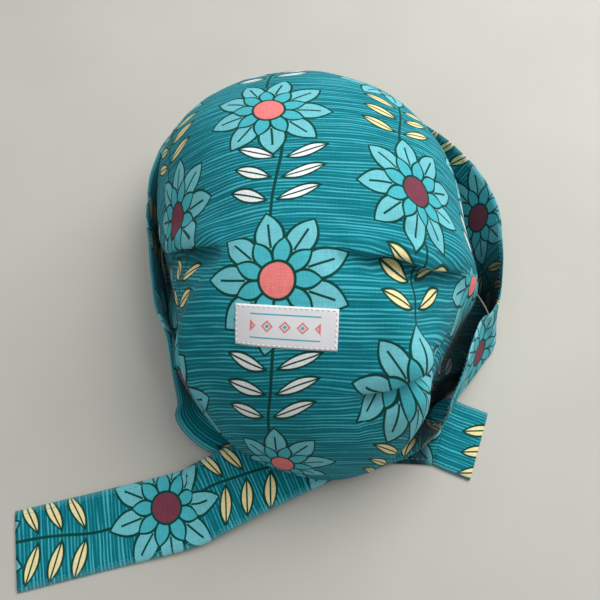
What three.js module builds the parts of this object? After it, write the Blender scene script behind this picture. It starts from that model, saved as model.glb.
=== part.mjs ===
import * as THREE from "three";

// A tie-back scrub cap resting on a table, in millimetres.
// x runs to the cap's right, y from the nape to the brow, z up from the table.

// The dome
const halfWidth = 110;
const halfLength = 136;
const crownHeight = 128;
const apexAlong = -14;
const domePower = 2.4;
const crownThickness = 1.2;
const grooveHeight = 0.08; // share of the height over which the wall leaves its seam

// The strips that make the cuff and the ties
const bandWidth = 44;
const bandThickness = 1.6;
const sewingGap = 0.5; // between pieces that are sewn together

// The free stretches of the ties, from their last bend to the cut end
const longTieLength = 99;
const longTieBearing = 193.4;
const shortTieLength = 29;
const shortTieBearing = 338;

// The woven label
const labelWidth = 50;
const labelDepth = 20;
const labelThickness = 1;
const labelTurn = 0.694; // where it sits, as a share of the way round
const labelRise = 0.645; // and of the way up
const labelTilt = 3;

// The height of the crown's edge where it rests beside a band
const restLift = 1;

// How finely the cloth is divided
const crownSteps = { around: 90, up: 22 };
const bandStepLength = 8;
const bandStepsAcross = 4;

const degrees = Math.PI / 180;

// The crown's lower edge, from its right side round by the brow. side and along are shares of the
// half width and half length, inset is how far the wall stands in from its seam, lift its height.
const rimRows = [
  { side: 1.0, along: 0.06, inset: 9, lift: restLift },
  { side: 0.94, along: 0.32, inset: 3, lift: restLift },
  { side: 0.84, along: 0.58, inset: 2, lift: restLift },
  { side: 0.645, along: 0.81, inset: 2, lift: restLift },
  { side: 0.365, along: 0.965, inset: 1, lift: restLift },
  { side: 0, along: 1.045, inset: 1, lift: restLift },
  { side: -0.4, along: 1.005, inset: 1, lift: restLift },
  { side: -0.735, along: 0.855, inset: 2, lift: restLift },
  { side: -0.945, along: 0.585, inset: 2, lift: restLift },
  { side: -0.965, along: 0.25, inset: 3, lift: restLift },
  { side: -0.89, along: -0.04, inset: 5, lift: 2 },
  { side: -0.82, along: -0.25, inset: 7.5, lift: 22 },
  { side: -0.725, along: -0.43, inset: 3.5, lift: 36 },
  { side: -0.695, along: -0.57, inset: 0, lift: 40 },
  { side: -0.55, along: -0.74, inset: 0, lift: 26 },
  { side: -0.31, along: -0.89, inset: 0, lift: 15 },
  { side: 0.07, along: -0.97, inset: 0, lift: 11 },
  { side: 0.38, along: -0.92, inset: 0, lift: 22 },
  { side: 0.57, along: -0.78, inset: 2, lift: 49 },
  { side: 0.68, along: -0.61, inset: 5, lift: 30 },
  { side: 1.02, along: -0.405, inset: 21, lift: restLift },
  { side: 1.11, along: -0.22, inset: 18, lift: restLift },
];
const browRow = 5;
const seamHeight = 0.3;

// The tucks sewn into the dome. Each runs through its stations, and the cloth on the left of its
// run lies over the cloth on its right. over is how far the first rises, under how far the
// second sinks.
const tucks = [
  {
    over: 4,
    under: 5,
    stations: [
      { turn: 0.775, rise: 0.88 },
      { turn: 0.864, rise: 0.738 },
      { turn: 0.893, rise: 0.56 },
      { turn: 0.928, rise: 0.41 },
    ],
  },
  {
    over: 4,
    under: 8,
    stations: [
      { turn: 0.75, rise: 0.455 },
      { turn: 0.794, rise: 0.416 },
      { turn: 0.835, rise: 0.325 },
      { turn: 0.885, rise: 0.25 },
    ],
  },
  {
    over: 3.5,
    under: 4,
    stations: [
      { turn: 0.425, rise: 0.08 },
      { turn: 0.484, rise: 0.4 },
      { turn: 0.514, rise: 0.548 },
      { turn: 0.54, rise: 0.65 },
    ],
  },
  {
    over: 3.5,
    under: 4,
    stations: [
      { turn: 0.58, rise: 0.36 },
      { turn: 0.6, rise: 0.26 },
      { turn: 0.615, rise: 0.17 },
      { turn: 0.64, rise: 0.09 },
    ],
  },
];
const tuckWidth = 8;
const tuckFreeRise = 0.2; // a tuck fades out below this rise, towards the seam
const tuckSamples = 40;

// The strips beyond the seam. side and along place the sewn edge, height is its height over the
// table, and lean is the strip's slope: 0 lies flat outwards, 90 stands, 180 lies flat inwards.
const rightSeamLeans = [90, 90, 87, 74, 64, 75, 103, 112];
const rightTieRows = [
  { side: 0.868, along: -0.567, height: 4, lean: 101 },
  { side: 0.75, along: -0.705, height: 4, lean: 97 },
  { side: 0.645, along: -0.8, height: 4, lean: 94 },
  { side: 0.51, along: -0.87, height: 4, lean: 124 },
  { side: 0.33, along: -0.915, height: 5, lean: 166 },
  { side: 0.11, along: -0.967, height: 6, lean: 176 },
  { side: -0.18, along: -1.072, height: 8, lean: 179 },
  { side: -0.43, along: -1.17, height: 6, lean: 180 },
  { side: -0.61, along: -1.235, height: 4, lean: 180 },
];
const leftSeamLeans = [90, 90, 90, 90, 90, 88, 86];
const leftTieRows = [
  { side: -0.68, along: -0.385, height: 4, lean: 73 },
  { side: -0.525, along: -0.475, height: 3, lean: 37 },
  { side: -0.405, along: -0.545, height: 1.4, lean: 3 },
  { side: -0.145, along: -0.59, height: 0.8, lean: 0 },
  { side: 0.18, along: -0.565, height: 0.8, lean: 0 },
  { side: 0.545, along: -0.565, height: 0.8, lean: 0 },
  { side: 0.765, along: -0.58, height: 0.8, lean: 0 },
];
const flatHeight = bandThickness / 2;
const stationsPerRow = 3;

function smoothPath(points, closed) {
  return new THREE.CatmullRomCurve3(points, closed, "catmullrom", 0.5);
}

const placeOf = (row, height) =>
  new THREE.Vector3(row.side * halfWidth, row.along * halfLength, height);

const rimPath = smoothPath(
  rimRows.map((row) => placeOf(row, row.lift)),
  true,
);
const insetPath = smoothPath(
  rimRows.map((row) => new THREE.Vector3(row.inset, 0, 0)),
  true,
);
const apexFoot = new THREE.Vector3(0, apexAlong, 0);
const wrap = (turn) => ((turn % 1) + 1) % 1;

// The smooth dome: turn goes once round, rise from the lower edge to the top.
function domePoint(turn, rise) {
  const rim = rimPath.getPoint(wrap(turn));
  const lift = Math.max(rim.z, restLift);
  rim.z = 0;
  const away = rim.clone().sub(apexFoot).normalize();
  const inset = insetPath.getPoint(wrap(turn)).x;
  const wall = rim.clone().addScaledVector(away, -inset);
  const swing = (rise * Math.PI) / 2;
  const reach = Math.cos(swing) ** (2 / domePower);
  const height = Math.sin(swing) ** (2 / domePower);
  const nearSeam = Math.exp(-((height / grooveHeight) ** 2));
  const point = apexFoot.clone().addScaledVector(wall.sub(apexFoot), reach);
  point.addScaledVector(away, inset * nearSeam);
  point.z = lift + (crownHeight - lift) * height;
  return point;
}

// The outward direction of a surface at one of its points.
function facing(surface, across, along, least, most) {
  const step = 1e-4;
  const low = Math.max(along - step, least);
  const high = Math.min(along + step, most);
  const sideways = surface(across + step, along).sub(
    surface(across - step, along),
  );
  const upwards = surface(across, high).sub(surface(across, low));
  return sideways.cross(upwards).normalize();
}

function domeFacing(turn, rise) {
  if (rise > 0.999) return new THREE.Vector3(0, 0, 1);
  return facing(domePoint, turn, rise, 0, 1);
}

// Each tuck as samples along its line, with the direction across it on the cloth.
function sampleTuck({ over, under, stations }) {
  const line = smoothPath(
    stations.map(({ turn, rise }) => new THREE.Vector3(turn, rise, 0)),
    false,
  );
  const samples = [];
  for (let i = 1; i < tuckSamples; i++) {
    const share = i / tuckSamples;
    const here = line.getPoint(share);
    const before = line.getPoint(share - 0.01);
    const after = line.getPoint(share + 0.01);
    const run = domePoint(after.x, after.y)
      .sub(domePoint(before.x, before.y))
      .normalize();
    const across = domeFacing(here.x, here.y).cross(run);
    const strength = Math.sin(share * Math.PI) ** 0.6;
    samples.push({
      point: domePoint(here.x, here.y),
      run,
      across,
      over: over * strength,
      under: under * strength,
    });
  }
  return samples;
}
const tuckLines = tucks.map(sampleTuck);

// How far a tuck lifts the cloth at a point: up on its over side and down on its under side.
function tuckLift(samples, point) {
  let nearest = samples[0];
  for (const sample of samples)
    if (
      sample.point.distanceToSquared(point) <
      nearest.point.distanceToSquared(point)
    )
      nearest = sample;
  const offset = point.clone().sub(nearest.point);
  const across = offset.dot(nearest.across) / tuckWidth;
  const beyond = offset.dot(nearest.run) / tuckWidth;
  const away = (across * across + beyond * beyond - 1) / 2;
  const depth = across > 0 ? nearest.over : nearest.under;
  return depth * across * Math.exp(-away);
}

function crownPoint(turn, rise) {
  const point = domePoint(turn, rise);
  const lift = tuckLines.reduce(
    (sum, samples) => sum + tuckLift(samples, point),
    0,
  );
  const free = THREE.MathUtils.smoothstep(rise, 0, tuckFreeRise);
  return point.addScaledVector(domeFacing(turn, rise), lift * free);
}

// A closed body from a grid of cloth: an outer and an inner layer joined along the free edges.
// A round grid meets itself, and a peaked one ends in a single point.
function clothBody(layers, columns, rows, { round, peaked }) {
  const positions = [];
  const perLayer = (columns + 1) * (rows + 1);
  for (const layer of layers)
    for (let row = 0; row <= rows; row++)
      for (let column = 0; column <= columns; column++)
        positions.push(...layer(column / columns, row / rows));
  const at = (layer, column, row) => {
    const last = peaked && row === rows;
    const shown = last || (round && column === columns) ? 0 : column;
    return layer * perLayer + row * (columns + 1) + shown;
  };
  const faces = [];
  const quad = (a, b, c, d) => {
    for (const corners of [
      [a, b, c],
      [a, c, d],
    ])
      if (new Set(corners).size === 3) faces.push(...corners);
  };
  for (let row = 0; row < rows; row++)
    for (let column = 0; column < columns; column++) {
      const corners = [
        [column, row],
        [column + 1, row],
        [column + 1, row + 1],
        [column, row + 1],
      ];
      quad(...corners.map(([c, r]) => at(0, c, r)));
      quad(...[...corners].reverse().map(([c, r]) => at(1, c, r)));
    }
  for (let column = 0; column < columns; column++) {
    edge([column + 1, 0], [column, 0]);
    if (!peaked) edge([column, rows], [column + 1, rows]);
  }
  for (let row = 0; row < rows && !round; row++) {
    edge([0, row], [0, row + 1]);
    edge([columns, row + 1], [columns, row]);
  }
  function edge(from, to) {
    quad(at(0, ...from), at(0, ...to), at(1, ...to), at(1, ...from));
  }
  const geometry = new THREE.BufferGeometry();
  geometry.setAttribute(
    "position",
    new THREE.Float32BufferAttribute(positions, 3),
  );
  geometry.setIndex(faces);
  geometry.computeVertexNormals();
  return geometry;
}

function makeCrown() {
  // Rings lie closer together near the lower edge, where the wall bends most.
  const riseOf = (share) => share ** 1.5;
  const outer = (turn, share) => crownPoint(turn, riseOf(share));
  const inner = (turn, share) =>
    outer(turn, share).addScaledVector(
      domeFacing(turn, riseOf(share)),
      -crownThickness,
    );
  return clothBody([outer, inner], crownSteps.around, crownSteps.up, {
    round: true,
    peaked: true,
  });
}

// The point of a band's sewn edge beside a row of the rim, clear of the crown.
function besideRim(turn) {
  const ahead = rimPath.getPoint(wrap(turn + 0.001));
  const behind = rimPath.getPoint(wrap(turn - 0.001));
  const run = ahead.sub(behind).normalize();
  const outward = new THREE.Vector3(run.y, -run.x, 0).normalize();
  return rimPath
    .getPoint(wrap(turn))
    .setZ(seamHeight)
    .addScaledVector(outward, sewingGap + bandThickness / 2);
}

// The stretch sewn to the rim, row by row from the brow in the given direction.
function seamStations(leans, direction) {
  const leanPath = smoothPath(
    leans.map((lean) => new THREE.Vector3(lean, 0, 0)),
    false,
  );
  const rows = leans.length - 1;
  const stations = [];
  for (let i = 0; i <= rows * stationsPerRow; i++) {
    const share = i / (rows * stationsPerRow);
    const row = browRow + share * rows * direction;
    const place = besideRim(row / rimRows.length);
    // The two bands meet at the middle of the brow.
    if (i === 0) place.x -= direction * sewingGap;
    stations.push({ place, lean: leanPath.getPoint(share).x });
  }
  return stations;
}

function tieEnd(last, length, bearing) {
  const run = new THREE.Vector3(
    Math.cos(bearing * degrees),
    Math.sin(bearing * degrees),
    0,
  );
  return [0.5, 1].map((share) => ({
    place: last.place
      .clone()
      .addScaledVector(run, length * share)
      .setZ(flatHeight),
    lean: last.lean,
  }));
}

// A strip from its stations. outward is 1 when the outside lies on the left of its run. Where a
// strip lies flat, its middle is half its thickness over the table.
function makeBand(stations, outward) {
  const path = smoothPath(
    stations.map(({ place }) => place),
    false,
  );
  const leans = smoothPath(
    stations.map(({ lean }) => new THREE.Vector3(lean, 0, 0)),
    false,
  );
  const middle = (share, width) => {
    const place = path.getUtoTmapping(THREE.MathUtils.clamp(share, 0, 1));
    const held = THREE.MathUtils.clamp(place, 0.001, 0.999);
    const run = path.getPoint(held + 0.001).sub(path.getPoint(held - 0.001));
    const outside = new THREE.Vector3(-run.y, run.x, 0)
      .normalize()
      .multiplyScalar(outward);
    const lean = leans.getPoint(place).x * degrees;
    const lowest = flatHeight * Math.abs(Math.cos(lean));
    const point = path.getPoint(place);
    point.z = Math.max(point.z, lowest);
    point.addScaledVector(outside, Math.cos(lean) * width * bandWidth);
    point.z += Math.sin(lean) * width * bandWidth;
    return point;
  };
  const layer = (side) => (share, width) =>
    middle(share, width).addScaledVector(
      facing(middle, share, width, 0, 1),
      (side * bandThickness) / 2,
    );
  const steps = Math.round(path.getLength() / bandStepLength);
  return clothBody([layer(1), layer(-1)], steps, bandStepsAcross, {
    round: false,
    peaked: false,
  });
}

function stationsOf(rows) {
  return rows.map((row) => ({
    place: placeOf(row, row.height),
    lean: row.lean,
  }));
}

function makeRightBand() {
  const stations = [
    ...seamStations(rightSeamLeans, -1),
    ...stationsOf(rightTieRows),
  ];
  stations.push(
    ...tieEnd(stations.at(-1), longTieLength, longTieBearing),
  );
  return makeBand(stations, 1);
}

function makeLeftBand() {
  const stations = [
    ...seamStations(leftSeamLeans, 1),
    ...stationsOf(leftTieRows),
  ];
  stations.push(
    ...tieEnd(stations.at(-1), shortTieLength, shortTieBearing),
  );
  return makeBand(stations, -1);
}

// The turn and rise of the dome's point nearest to a target, from a first guess.
function nearestOnDome(target, turn, rise) {
  const step = 1e-4;
  for (let i = 0; i < 8; i++) {
    const here = domePoint(turn, rise);
    const byTurn = domePoint(turn + step, rise)
      .sub(here)
      .divideScalar(step);
    const byRise = domePoint(turn, rise + step)
      .sub(here)
      .divideScalar(step);
    const miss = target.clone().sub(here);
    const a = byTurn.dot(byTurn);
    const b = byTurn.dot(byRise);
    const c = byRise.dot(byRise);
    const d = byTurn.dot(miss);
    const e = byRise.dot(miss);
    const scale = a * c - b * b;
    turn += (d * c - e * b) / scale;
    rise += (e * a - d * b) / scale;
  }
  return { turn, rise };
}

function makeLabel() {
  const middle = domePoint(labelTurn, labelRise);
  const out = domeFacing(labelTurn, labelRise);
  const tilt = labelTilt * degrees;
  const sideways = new THREE.Vector3(Math.cos(tilt), -Math.sin(tilt), 0)
    .projectOnPlane(out)
    .normalize();
  const upwards = out.clone().cross(sideways);
  const layer = (height) => (column, row) => {
    const target = middle
      .clone()
      .addScaledVector(sideways, (column - 0.5) * labelWidth)
      .addScaledVector(upwards, (row - 0.5) * labelDepth);
    const { turn, rise } = nearestOnDome(target, labelTurn, labelRise);
    return crownPoint(turn, rise).addScaledVector(
      domeFacing(turn, rise),
      height,
    );
  };
  const layers = [layer(sewingGap + labelThickness), layer(sewingGap)];
  return clothBody(layers, 12, 5, { round: false, peaked: false });
}

const printedCotton = new THREE.MeshStandardMaterial({
  color: "#1e94a3",
  roughness: 0.9,
});
const wovenSatin = new THREE.MeshStandardMaterial({
  color: "#d4d1d5",
  roughness: 0.7,
});

const cap = new THREE.Group();
for (const [name, geometry, material] of [
  ["crown", makeCrown(), printedCotton],
  ["left_band", makeLeftBand(), printedCotton],
  ["right_band", makeRightBand(), printedCotton],
  ["label", makeLabel(), wovenSatin],
]) {
  const mesh = new THREE.Mesh(geometry, material);
  mesh.name = name;
  cap.add(mesh);
}

// The part's origin is the middle of its footprint, on the table.
const bounds = new THREE.Box3().setFromObject(cap);
const footprint = bounds.getCenter(new THREE.Vector3()).setZ(bounds.min.z);
for (const mesh of cap.children)
  mesh.geometry.translate(-footprint.x, -footprint.y, -footprint.z);

export default cap;
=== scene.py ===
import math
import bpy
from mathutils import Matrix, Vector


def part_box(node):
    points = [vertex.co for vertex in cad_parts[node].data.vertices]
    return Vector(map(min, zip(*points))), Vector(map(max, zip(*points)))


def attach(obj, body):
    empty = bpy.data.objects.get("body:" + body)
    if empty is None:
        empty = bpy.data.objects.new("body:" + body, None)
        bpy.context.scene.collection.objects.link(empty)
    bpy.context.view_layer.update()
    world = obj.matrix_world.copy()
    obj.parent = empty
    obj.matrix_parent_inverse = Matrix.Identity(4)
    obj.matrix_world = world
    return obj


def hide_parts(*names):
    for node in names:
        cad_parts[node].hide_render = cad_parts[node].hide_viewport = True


bl_info = {
    "name": "Scrub Cap",
    "version": (1, 0, 0),
    "blender": (4, 5, 0),
    "location": "View3D > Sidebar > Cap",
    "description": "Builds a tie-back cotton scrub cap lying on a table",
    "category": "Add Mesh",
}

import bmesh
import bpy
import numpy as np
from bpy.props import FloatProperty, FloatVectorProperty, PointerProperty
from mathutils import Vector

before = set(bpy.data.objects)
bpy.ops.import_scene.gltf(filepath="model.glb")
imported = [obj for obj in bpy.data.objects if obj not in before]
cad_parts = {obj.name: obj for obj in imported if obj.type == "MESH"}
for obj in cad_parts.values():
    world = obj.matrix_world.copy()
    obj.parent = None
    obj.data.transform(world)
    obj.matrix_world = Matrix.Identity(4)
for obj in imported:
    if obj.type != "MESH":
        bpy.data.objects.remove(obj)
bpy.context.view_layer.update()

MM = 0.001

# The cap's own drawing, in millimetres: x to its right, y from the nape to the brow, z up.
# A ramp is given as (start, length): 0 at the start and 1 a length on, or back if it is negative.
HALF_WIDTH = 110.0
HALF_LENGTH = 136.0
CROWN_HEIGHT = 128.0
APEX = np.array([0.0, -14.0])
DOME_POWER = 2.4
GROOVE_HEIGHT = 0.08
REST_LIFT = 1.0
BAND_WIDTH = 44.0
SEAM_HEIGHT = 0.3
FLAT_HEIGHT = 0.8
FLOOR_RISE = 0.27
SEWING_OFFSET = 1.3

# The crown's lower edge from its right side round by the brow: side and along as shares of the
# half width and half length, how far the wall stands in from its seam, and the edge's height.
RIM_ROWS = np.array([
    (1.0, 0.06, 9, 1), (0.94, 0.32, 3, 1), (0.84, 0.58, 2, 1), (0.645, 0.81, 2, 1),
    (0.365, 0.965, 1, 1), (0, 1.045, 1, 1), (-0.4, 1.005, 1, 1), (-0.735, 0.855, 2, 1),
    (-0.945, 0.585, 2, 1), (-0.965, 0.25, 3, 1), (-0.89, -0.04, 5, 2), (-0.82, -0.25, 7.5, 22),
    (-0.725, -0.43, 3.5, 36), (-0.695, -0.57, 0, 40), (-0.55, -0.74, 0, 26), (-0.31, -0.89, 0, 15),
    (0.07, -0.97, 0, 11), (0.38, -0.92, 0, 22), (0.54, -0.79, 0, 49), (0.63, -0.61, 1, 32),
    (1.02, -0.405, 21, 1), (1.11, -0.22, 18, 1),
])
RIM_COUNT = len(RIM_ROWS)
BROW_ROW = 5
NAPE_ROW = 16

# Tucks and creases in the dome, each through stations of (turn, rise). over is how far the upper
# layer rises, under how far the lower one sinks, lap how far the upper reaches over the lower.
TUCKS = {
    "right_upper": dict(over=3.6, under=4.6, lap=3.2, width=6.0,
                        stations=((0.775, 0.88), (0.864, 0.738), (0.893, 0.56), (0.928, 0.41))),
    "right_lower": dict(over=4.0, under=8.5, lap=4.4, width=6.5,
                        stations=((0.75, 0.455), (0.794, 0.416), (0.835, 0.325), (0.885, 0.25))),
    "left_upper": dict(over=3.2, under=4.0, lap=3.0, width=6.0,
                       stations=((0.425, 0.08), (0.484, 0.4), (0.514, 0.548), (0.54, 0.65))),
    "left_lower": dict(over=3.2, under=4.0, lap=2.8, width=6.0,
                       stations=((0.58, 0.36), (0.6, 0.26), (0.615, 0.17), (0.64, 0.09))),
    "right_crease": dict(over=1.6, under=1.6, lap=0.0, width=8.0,
                         stations=((0.89, 0.55), (0.925, 0.646), (0.956, 0.697), (0.985, 0.74))),
}
PLEAT_PATH = ("left_upper", "right_upper")
LOWER_TUCKS = ("right_lower", "left_lower")
DEEPEST_TUCK = 8.5
# How strongly and how near its line a tuck's upper layer laps the lower, and the place and half
# width of the shade painted into its slot, in shares of the tuck's width.
LAP_STRENGTH = 3.2
LAP_SPREAD = 0.55
PAINTED_SLOT_SHADE = dict(place=-0.6, half_width=0.42, power=1.3)
# The sewn edge holds the cloth smooth over this share of its rise.
HELD_SHARE = 0.2
# The cloth that a lower tuck hides, across and along the print, and how far its pull reaches.
LOWER_TUCK_SHIFT = (5.0, -13.0)
LOWER_TUCK_PULL = (30.0, 20.0)
# Between the upper tucks, about this middle, the print's jump is spread over the width here in
# millimetres, and at this distance from it, by the tucks, it is sharp.
PLEAT_MIDDLE = -17.0
PLEAT_REACH = 32.0
PLEAT_WIDTHS = (30.0, 0.6)

# Beside the right band the wall hangs over, so that a deep fold runs along it: the middle and
# half width in turn, the height, the half height and the depth in millimetres.
OVERHANG = dict(turn=21.4 / RIM_COUNT, half_turn=0.8 / RIM_COUNT, height=24.0, half_height=14.0,
                depth=11.0)
SEAM_RAMP = (0.0, 10.0)

# Shade is painted on that fold's cloth near the table, with a ramp over its height.
PAINTED_FOLD_SHADE = dict(turn=20.3 / RIM_COUNT, half_turn=1.7 / RIM_COUNT, height=(62.0, -22.0))

# Where the hem stands clear of the right band its loose corner hangs down towards the band: the
# middle and half width in turn, and how far it hangs and stands out, in millimetres.
LOOSE_HEM = dict(turn=19.15 / RIM_COUNT, half_turn=0.85 / RIM_COUNT, hang=32.0, outward=7.0,
                 floor_gap=1.5)
CROWN_GRID = dict(around=400, up=118, inside=6)

# The strips beyond their seam, as (side, along, height, lean): the sewn edge's place and the
# strip's slope there, where 0 lies flat outwards, 90 stands and 180 lies flat inwards.
BANDS = {
    "right_band": dict(
        direction=-1,
        seam_leans=(90, 90, 87, 74, 64, 75, 103, 112),
        tie_rows=((0.868, -0.567, 4, 101), (0.75, -0.705, 4, 97), (0.645, -0.8, 4, 94),
                  (0.51, -0.87, 4, 124), (0.33, -0.915, 5, 166), (0.11, -0.967, 6, 176),
                  (-0.18, -1.072, 8, 179), (-0.43, -1.17, 6, 180), (-0.61, -1.235, 4, 180)),
        free_length=99, bearing=193.4),
    "left_band": dict(
        direction=1,
        seam_leans=(90, 90, 90, 90, 90, 88, 86),
        tie_rows=((-0.68, -0.385, 4, 73), (-0.525, -0.475, 3, 37), (-0.405, -0.545, 1.4, 3),
                  (-0.145, -0.59, 0.8, 0), (0.18, -0.565, 0.8, 0), (0.545, -0.565, 0.8, 0),
                  (0.765, -0.58, 0.8, 0)),
        free_length=29, bearing=338),
}
STATIONS_PER_ROW = 3
STRIP_SAMPLES = 2001
# A strip's pressed edges are thinner by a share over a width, and its last stretch lies flat,
# with a ramp over the length that is left.
PRESSED_EDGE = dict(width=1.2, thinning=0.75)
FLAT_STRETCH = (140.0, -40.0)
# Where shade is painted on a strip's cloth: its inner face on the right, its tie under the crown,
# and the place where it is turned in at the nape, all in the drawing's millimetres.
INNER_SHADE = dict(along=-40.0, half_along=60.0, side=(40.0, 20.0))
UNDER_CROWN = dict(left=(10.0, 10.0), right=(76.0, -8.0), height=3.0)
TURNED_IN = dict(side=64.0, along=-104.0, half_side=11.4, half_along=10.49)
# Where each strip's cloth was cut from the print, in millimetres across and along it.
PRINT_START = {"right_band": (31, 40), "left_band": (20, 12)}

LABEL_TURN = 0.694
LABEL_RISE = 0.645
LABEL_WIDTH = 50.0
LABEL_DEPTH = 20.0
LABEL_TILT = 3.0
LABEL_THICKNESS = 0.6
# The label's face stands this far over the crown at its edges, and this much more inside.
LABEL_LIFT = 0.55
LABEL_PUFF = 0.35
LABEL_EDGE = 1.2

# Threads, in millimetres, and the places of their rows.
TOPSTITCH = dict(pitch=3.2, length=1.984, radius=0.2)
LABEL_STITCH = dict(pitch=2.5, length=1.7, radius=0.32)
TOPSTITCH_INSET = 3.0
LABEL_STITCH_INSET = 1.0
LABEL_STITCH_LIFT = 0.95
NAPE_HEM = dict(first=11.2 / RIM_COUNT, last=18.4 / RIM_COUNT, rise=0.052)

# The print, in millimetres of cloth: one repeat with two sprigs and two rosettes.
REPEAT = (150.0, 112.0, 1.0)
SPRIGS = (((53, 30), "cream"), ((-22, 86), "white"))
ROSETTES = (((-22, 30), "coral"), ((53, 86), "plum"))
PETALS = 9
OUTER_PETALS = dict(reach=22.5, half_length=13.0, half_width=7.2)
INNER_PETALS = dict(reach=13.5, half_length=8.0, half_width=4.4)
MIDDLE_RADIUS = 9.8
VEIN = dict(half_length=6.5, half_width=0.6)
STEM = dict(half_length=30.0, half_width=0.8, sway=2.6, bend=0.06)
LEAF_HALF_PITCH = 6.6
INK_SPREAD = 0.14
LINE_PITCH = 2.0
# How far the lines wander, and what slow waves, swelling and streaks add to their strength, which
# is dark under the first level and fully pale over the second.
BRUSH = dict(wander=3.0, slow=0.35, swell=2.6, streak=2.0)
BRUSH_LEVELS = (1.9, 3.7)
ROSETTE_DRIFT = 9.0
SPRIG_DRIFT = 6.0
CLOTH_DRIFT = 3.5
WEAVE_PITCH = 0.9
LABEL_RIB_PITCH = 0.5
LOZENGE_PITCH = 8.4
LOZENGE_HALF_WIDTH = 2.9
RULE = dict(level=5.6, half_width=0.35)
# What tints the cotton's back, the highlight painted along its pressed edges and the shade
# painted into its deep folds, and how strongly.
BACK_TINT = ("#9cc9cd", 0.5)
EDGE_HIGHLIGHT_TINT = ("#8fd0d6", 0.25)
PAINTED_SHADE_TINT = ("#02191d", 0.92)

# The camera stands over the nape end, where the photographer held theirs.
CAMERA_PLACE = (-7.0, -188.0, 365.0)
CAMERA_PITCH = 64.0
CAMERA_LENS = 35.34

# The room's light, in metres and watts.
LAMPS = {
    "window": dict(place=(0.68, 0.6, 1.0), size=1.2, power=19.5),
    "ceiling": dict(place=(0.0, 0.05, 1.5), size=1.8, power=8),
}
LAMP_AIM = (0, 0, 0.05)
ROOM_LIGHT = 0.36
TABLE_HALF_SIZE = 3


# Shapes of the cloth
def smooth_path(rows, share, closed):
    """The point at a share of the way along a smooth path through rows."""
    rows = np.asarray(rows, float)
    count = len(rows)
    place = np.asarray(share, float) * (count if closed else count - 1)
    first = np.floor(place).astype(int)
    if not closed:
        first = np.clip(first, 0, count - 2)
    part = (place - first)[..., None]

    def at(index):
        if closed:
            return rows[index % count]
        inside = rows[np.clip(index, 0, count - 1)]
        before = (index < 0)[..., None]
        after = (index > count - 1)[..., None]
        inside = np.where(before, 2 * rows[0] - rows[1], inside)
        return np.where(after, 2 * rows[-1] - rows[-2], inside)

    a, b, c, d = (at(first + step) for step in (-1, 0, 1, 2))
    return 0.5 * (2 * b + (c - a) * part + (2 * a - 5 * b + 4 * c - d) * part**2
                  + (3 * b - a - 3 * c + d) * part**3)


def ramp(value, start, length):
    return np.clip((value - start) / length, 0, 1)


def smooth_step(share):
    """A share that starts and ends softly."""
    return share * share * (3 - 2 * share)


def unit(vectors):
    length = np.linalg.norm(vectors, axis=-1, keepdims=True)
    return vectors / np.maximum(length, 1e-12)


def rim(turn):
    """Place, inset and lift of the crown's lower edge."""
    rows = smooth_path(RIM_ROWS, turn, True)
    place = rows[..., :2] * (HALF_WIDTH, HALF_LENGTH)
    return place, rows[..., 2:3], np.maximum(rows[..., 3], REST_LIFT)


def dome(turn, rise):
    """The smooth dome: turn goes once round, rise from the lower edge to the top."""
    place, inset, lift = rim(turn)
    away = unit(place - APEX)
    wall = place - away * inset
    swing = rise * math.pi / 2
    reach = np.maximum(np.cos(swing), 0) ** (2 / DOME_POWER)
    height = np.sin(swing) ** (2 / DOME_POWER)
    near_seam = np.exp(-((height / GROOVE_HEIGHT) ** 2))
    flat = APEX + (wall - APEX) * reach[..., None] + away * inset * near_seam[..., None]
    tall = lift + (CROWN_HEIGHT - lift) * height
    return np.concatenate([flat, tall[..., None]], -1)


def facing(surface, across, along):
    """The outward direction of a surface over two shares."""
    step = 1e-4
    sideways = surface(across + step, along) - surface(across - step, along)
    upwards = (surface(across, np.minimum(along + step, 1))
               - surface(across, np.maximum(along - step, 0)))
    return unit(np.cross(sideways, upwards))


def dome_facing(turn, rise):
    out = facing(dome, turn, np.minimum(rise, 0.998))
    return np.where((rise > 0.998)[..., None], (0.0, 0.0, 1.0), out)


def tuck_samples(stations, count=60):
    """Points along a tuck with its run, the direction across it, and its share of full depth."""
    share = np.linspace(0.01, 0.99, count)
    turn, rise = smooth_path(stations, share, False).T
    ahead = smooth_path(stations, share + 0.005, False).T
    behind = smooth_path(stations, share - 0.005, False).T
    run = unit(dome(*ahead) - dome(*behind))
    across = np.cross(dome_facing(turn, rise), run)
    return dome(turn, rise), run, across, np.sin(share * math.pi) ** 0.6


def beside(points, samples):
    """Across and beyond distances of points from the nearest sample, and its strength."""
    place, run, across, strength = samples
    gap = ((points[..., None, :] - place) ** 2).sum(-1)
    nearest = gap.argmin(-1)
    offset = points - place[nearest]
    return ((offset * across[nearest]).sum(-1), (offset * run[nearest]).sum(-1),
            strength[nearest], across[nearest])


def ripple(points, out):
    """The slight unevenness of soft cloth, as a shift along its outward direction."""
    x, y, z = np.moveaxis(points, -1, 0)
    wave = (0.5 * np.sin(x / 17 + y / 31 + 1.3) * np.sin(y / 23 - z / 19)
            + 0.3 * np.sin(x / 8.5 - z / 11 + 0.7) * np.sin(y / 9.7 + x / 21)
            + 0.12 * np.sin(x / 4.1 + y / 5.3) * np.sin(z / 4.7 - y / 3.9))
    return out * wave[..., None]


def overhang(turn, points):
    """The shift that draws the wall in below its bulge."""
    around = (turn - OVERHANG["turn"]) / OVERHANG["half_turn"]
    level = (points[..., 2] - OVERHANG["height"]) / OVERHANG["half_height"]
    away = unit(points[..., :2] - APEX)
    # At the seam the wall stays with the band.
    above_seam = ramp(points[..., 2], *SEAM_RAMP)
    inward = -OVERHANG["depth"] * np.exp(-around**2 - level**2) * above_seam
    return np.concatenate([away * inward[..., None], np.zeros_like(inward)[..., None]], -1)


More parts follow.
